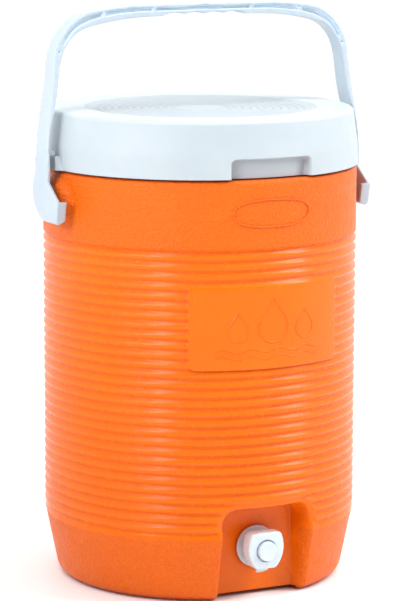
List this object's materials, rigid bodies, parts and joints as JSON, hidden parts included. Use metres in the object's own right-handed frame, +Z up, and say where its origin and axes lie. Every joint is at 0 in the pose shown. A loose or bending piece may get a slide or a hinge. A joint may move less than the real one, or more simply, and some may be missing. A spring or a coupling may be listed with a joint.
{
  "type": "beverage dispenser",
  "caption": "Round insulated drinks dispenser: ribbed double-walled tub, lift-off lid, swinging bail handle and a recessed push-button tap.",
  "frame": {"origin": "centre of the base at floor level", "axes": "+Z up along the tub's axis, -Y towards the tap, +X to the right of someone facing the tap; the handle turns about X"},
  "size_m": [0.3668, 0.3324, 0.6056],
  "materials": {
    "shell_orange": "satin",
    "lid_white": "satin",
    "handle_white": "satin",
    "liner_white": "satin",
    "foam": "matte",
    "tap_white": "satin",
    "button_white": "satin",
    "seal_rubber": "matte",
    "pin_steel": "satin",
    "spring_steel": "satin"
  },
  "bodies": {
    "tub": {"outer_shell": "shell_orange", "foam_insulation": "foam", "inner_liner": "liner_white", "base_fill_plug": "shell_orange", "pivot_pin_left": "pin_steel", "pivot_pin_right": "pin_steel", "tap_body": "tap_white", "tap_guide_bush": "tap_white", "tap_outer_gasket": "seal_rubber", "tap_inner_gasket": "seal_rubber", "tap_lock_nut": "tap_white", "tap_return_spring": "spring_steel"},
    "lid": {"lid_top_shell": "lid_white", "lid_bottom_pan": "liner_white", "lid_foam": "foam", "lid_seal_ring": "seal_rubber", "lid_fill_plug": "liner_white"},
    "bail_handle": {"handle": "handle_white"},
    "push_button": {"tap_button": "button_white", "tap_button_oring": "seal_rubber", "tap_stem": "button_white", "tap_valve_seal": "seal_rubber"}
  },
  "joints": [
    {"name": "lid_lift", "type": "slide", "parent": "tub", "child": "lid", "axis": [0, 0, 1], "range_m": [0, 0.04]},
    {"name": "handle_swing", "type": "hinge", "parent": "tub", "child": "bail_handle", "pos_m": [0, 0, 0.404], "axis": [1, 0, 0], "range_deg": [-115, 115]},
    {"name": "button_press", "type": "slide", "parent": "tub", "child": "push_button", "axis": [0, 1, 0], "range_m": [0, 0.004], "stiffness_N_per_m": 600, "deforming": ["tap_return_spring"]}
  ]
}
